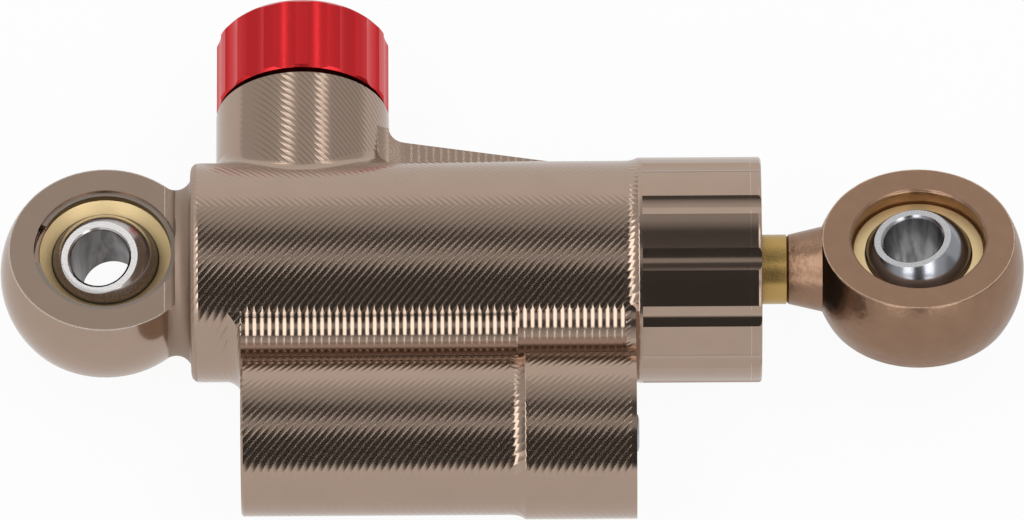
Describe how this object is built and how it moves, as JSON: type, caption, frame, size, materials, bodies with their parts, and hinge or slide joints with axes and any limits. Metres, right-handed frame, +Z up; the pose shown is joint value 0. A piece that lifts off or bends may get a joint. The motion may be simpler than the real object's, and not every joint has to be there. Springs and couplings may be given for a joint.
{
  "type": "motorcycle steering damper",
  "caption": "Linear steering damper: milled alloy body with parallel oil reservoir, fluted damping knob, sliding rod and a spherical bearing eye at each end.",
  "frame": {"origin": "centre of the spherical bearing in the body's eye", "axes": "+X along the rod towards the rod eye, +Y towards the damping knob, +Z up along the axis of the body eye's seat"},
  "size_m": [0.138, 0.0748, 0.0304],
  "materials": {
    "body_metal": "titanium-coloured anodised, milled with visible tool lines",
    "eye_metal": "brown anodised, satin",
    "brass": "turned",
    "steel": "ground",
    "rod_metal": "gold nitride coating, polished",
    "plain_metal": "turned",
    "dark_metal": "black anodised",
    "knob_metal": "red anodised, satin",
    "rubber": "moulded",
    "ring_plastic": "filled slide plastic"
  },
  "bodies": {
    "housing": {"body": "body_metal", "snap_ring": "steel", "bump_stop": "rubber", "top_stop": "rubber", "gland": "dark_metal", "rod_bush": "brass", "rod_seal": "rubber", "rod_wiper": "rubber", "gland_seal": "rubber", "gland_circlip": "steel", "reservoir_cap": "dark_metal", "cap_seal": "rubber", "cap_circlip": "steel", "charging_screw": "steel", "bonnet": "dark_metal", "bonnet_seal": "rubber", "spindle_seal": "rubber", "valve_seat": "plain_metal", "seat_seal": "rubber"},
    "near_race": {"body_race": "brass"},
    "near_ball": {"body_ball": "steel"},
    "piston_set": {"piston": "plain_metal", "piston_ring": "ring_plastic"},
    "rod_set": {"piston_rod": "rod_metal", "piston_washer": "steel", "piston_nut": "steel", "rod_eye": "eye_metal"},
    "far_race": {"rod_race": "brass"},
    "far_ball": {"rod_ball": "steel"},
    "float_set": {"float_piston": "plain_metal", "float_seal": "rubber"},
    "knob_set": {"knob": "knob_metal", "knob_screw": "steel", "spindle": "steel", "detent_ball_a": "steel", "detent_ball_b": "steel", "detent_spring_a": "steel", "detent_spring_b": "steel"},
    "needle_set": {"needle": "steel"}
  },
  "joints": [
    {"name": "rod_slide", "type": "slide", "parent": "housing", "child": "piston_set", "axis": [1, 0, 0], "range_m": [0, 0.038]},
    {"name": "rod_turn", "type": "hinge", "parent": "piston_set", "child": "rod_set", "pos_m": [0.0622, 0, 0], "axis": [1, 0, 0], "continuous": true},
    {"name": "near_race_turn", "type": "hinge", "parent": "housing", "child": "near_race", "pos_m": [0, 0, 0], "axis": [0, 0, 1], "continuous": true},
    {"name": "near_ball_lean", "type": "hinge", "parent": "near_race", "child": "near_ball", "pos_m": [0, 0, 0], "axis": [0.848, -0.5299, 0], "range_deg": [-28.8, 1.2]},
    {"name": "far_race_turn", "type": "hinge", "parent": "rod_set", "child": "far_race", "pos_m": [0.1096, 0, 0], "axis": [0, 0.1822, 0.9833], "continuous": true},
    {"name": "far_ball_lean", "type": "hinge", "parent": "far_race", "child": "far_ball", "pos_m": [0.1096, 0, 0], "axis": [0.1822, -0.9668, 0.1792], "range_deg": [-22.9, 7.1]},
    {"name": "float_slide", "type": "slide", "parent": "housing", "child": "float_set", "axis": [1, 0, 0], "range_m": [-0.0142, 0]},
    {"name": "knob_turn", "type": "hinge", "parent": "housing", "child": "knob_set", "pos_m": [0.02655, 0.03, 0], "axis": [0, 1, 0], "range_deg": [-270, 270]},
    {"name": "needle_slide", "type": "slide", "parent": "housing", "child": "needle_set", "axis": [0, 1, 0], "range_m": [-0.0006, 0.0006]}
  ],
  "couplings": [
    {"joint": "float_slide", "follows": "rod_slide", "ratio": -0.37258},
    {"joint": "needle_slide", "follows": "knob_turn", "m_per_rad": 0.000127}
  ]
}
